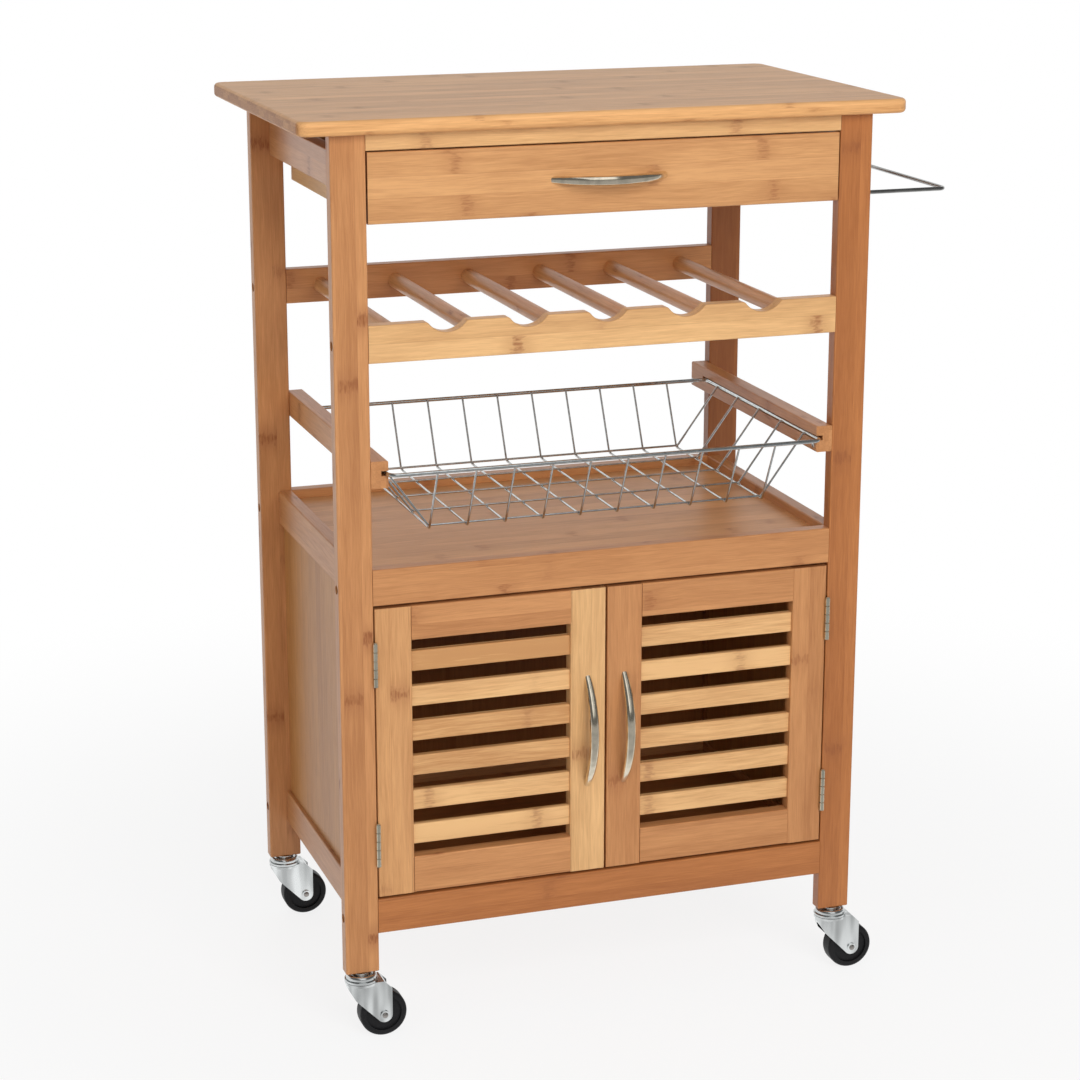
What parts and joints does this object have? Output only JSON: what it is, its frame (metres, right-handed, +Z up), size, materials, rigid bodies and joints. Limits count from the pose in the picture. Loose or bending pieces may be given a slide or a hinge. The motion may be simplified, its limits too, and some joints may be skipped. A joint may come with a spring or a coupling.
{
  "type": "rolling kitchen cabinet",
  "caption": "Bamboo kitchen trolley on swivel casters with worktop, drawer, bottle rack, wire basket, tray shelf, slatted double doors and a side towel rail.",
  "frame": {"origin": "on the floor under the middle of the outer box, which includes the towel rail and the handles", "axes": "+Z up, +X to the user's right when facing the doors, the front faces -Y"},
  "size_m": [0.6626, 0.376, 0.913],
  "materials": {
    "bamboo": "clear satin lacquer",
    "panel_board": "clear satin lacquer",
    "satin_nickel": "satin nickel",
    "hinge_steel": "zinc plated",
    "chrome_wire": "bright chrome",
    "zinc_steel": "zinc plated",
    "wheel_black": "matte black",
    "bolt_steel": "zinc plated",
    "catch_plastic": "matte"
  },
  "bodies": {
    "frame": {"leg_front_left": "bamboo", "leg_front_right": "bamboo", "leg_rear_left": "bamboo", "leg_rear_right": "bamboo", "worktop": "bamboo", "top_front_rail": "bamboo", "top_back_rail": "bamboo", "side_aprons": "bamboo", "rack_front_rail": "bamboo", "rack_back_rail": "bamboo", "rack_dowels": "bamboo", "basket_runners": "bamboo", "tray_front_rail": "bamboo", "tray_back_rail": "bamboo", "tray_side_rails": "bamboo", "tray_panel": "bamboo", "bottom_front_rail": "bamboo", "bottom_back_rail": "bamboo", "bottom_side_rails": "bamboo", "bottom_panel": "panel_board", "side_panels": "bamboo", "back_panel": "panel_board", "frame_bolts": "bolt_steel", "joint_dowels": "bamboo", "frame_hinges": "hinge_steel", "door_catch": "catch_plastic", "towel_rail": "chrome_wire", "caster_stems": "zinc_steel", "drawer_runners": "bamboo"},
    "drawer": {"drawer_front": "bamboo", "drawer_side_left": "bamboo", "drawer_side_right": "bamboo", "drawer_back": "bamboo", "drawer_bottom": "panel_board", "drawer_handle": "satin_nickel"},
    "basket": {"basket_rim": "chrome_wire", "basket_long_wires": "chrome_wire", "basket_cross_wires": "chrome_wire"},
    "door_left": {"door_left_hinge_stile": "bamboo", "door_left_meeting_stile": "bamboo", "door_left_rails": "bamboo", "door_left_slats": "bamboo", "door_left_handle": "satin_nickel", "door_left_hinge_leaves": "hinge_steel", "door_left_strike": "hinge_steel"},
    "door_right": {"door_right_hinge_stile": "bamboo", "door_right_meeting_stile": "bamboo", "door_right_rails": "bamboo", "door_right_slats": "bamboo", "door_right_handle": "satin_nickel", "door_right_hinge_leaves": "hinge_steel", "door_right_strike": "hinge_steel"},
    "fork_front_left": {"caster_fork_front_left": "zinc_steel"},
    "wheel_front_left": {"caster_wheel_front_left": "wheel_black"},
    "fork_front_right": {"caster_fork_front_right": "zinc_steel"},
    "wheel_front_right": {"caster_wheel_front_right": "wheel_black"},
    "fork_rear_left": {"caster_fork_rear_left": "zinc_steel"},
    "wheel_rear_left": {"caster_wheel_rear_left": "wheel_black"},
    "fork_rear_right": {"caster_fork_rear_right": "zinc_steel"},
    "wheel_rear_right": {"caster_wheel_rear_right": "wheel_black"}
  },
  "joints": [
    {"name": "drawer_slide", "type": "slide", "parent": "frame", "child": "drawer", "axis": [0, -1, 0], "range_m": [0, 0.25]},
    {"name": "basket_slide", "type": "slide", "parent": "frame", "child": "basket", "axis": [0, -1, 0], "range_m": [0, 0.2]},
    {"name": "door_left_hinge", "type": "hinge", "parent": "frame", "child": "door_left", "pos_m": [-0.26465, -0.1668, 0.297], "axis": [0, 0, -1], "range_deg": [0, 170]},
    {"name": "door_right_hinge", "type": "hinge", "parent": "frame", "child": "door_right", "pos_m": [0.21015, -0.1668, 0.297], "axis": [0, 0, 1], "range_deg": [0, 170]},
    {"name": "swivel_front_left", "type": "hinge", "parent": "frame", "child": "fork_front_left", "pos_m": [-0.28225, -0.1565, 0.06], "axis": [0, 0, 1], "continuous": true},
    {"name": "roll_front_left", "type": "hinge", "parent": "fork_front_left", "child": "wheel_front_left", "pos_m": [-0.26165, -0.1565, 0.024], "axis": [0, 1, 0], "continuous": true},
    {"name": "swivel_front_right", "type": "hinge", "parent": "frame", "child": "fork_front_right", "pos_m": [0.22775, -0.1565, 0.06], "axis": [0, 0, 1], "continuous": true},
    {"name": "roll_front_right", "type": "hinge", "parent": "fork_front_right", "child": "wheel_front_right", "pos_m": [0.24835, -0.1565, 0.024], "axis": [0, 1, 0], "continuous": true},
    {"name": "swivel_rear_left", "type": "hinge", "parent": "frame", "child": "fork_rear_left", "pos_m": [-0.28225, 0.1665, 0.06], "axis": [0, 0, 1], "continuous": true},
    {"name": "roll_rear_left", "type": "hinge", "parent": "fork_rear_left", "child": "wheel_rear_left", "pos_m": [-0.26165, 0.1665, 0.024], "axis": [0, 1, 0], "continuous": true},
    {"name": "swivel_rear_right", "type": "hinge", "parent": "frame", "child": "fork_rear_right", "pos_m": [0.22775, 0.1665, 0.06], "axis": [0, 0, 1], "continuous": true},
    {"name": "roll_rear_right", "type": "hinge", "parent": "fork_rear_right", "child": "wheel_rear_right", "pos_m": [0.24835, 0.1665, 0.024], "axis": [0, 1, 0], "continuous": true}
  ]
}
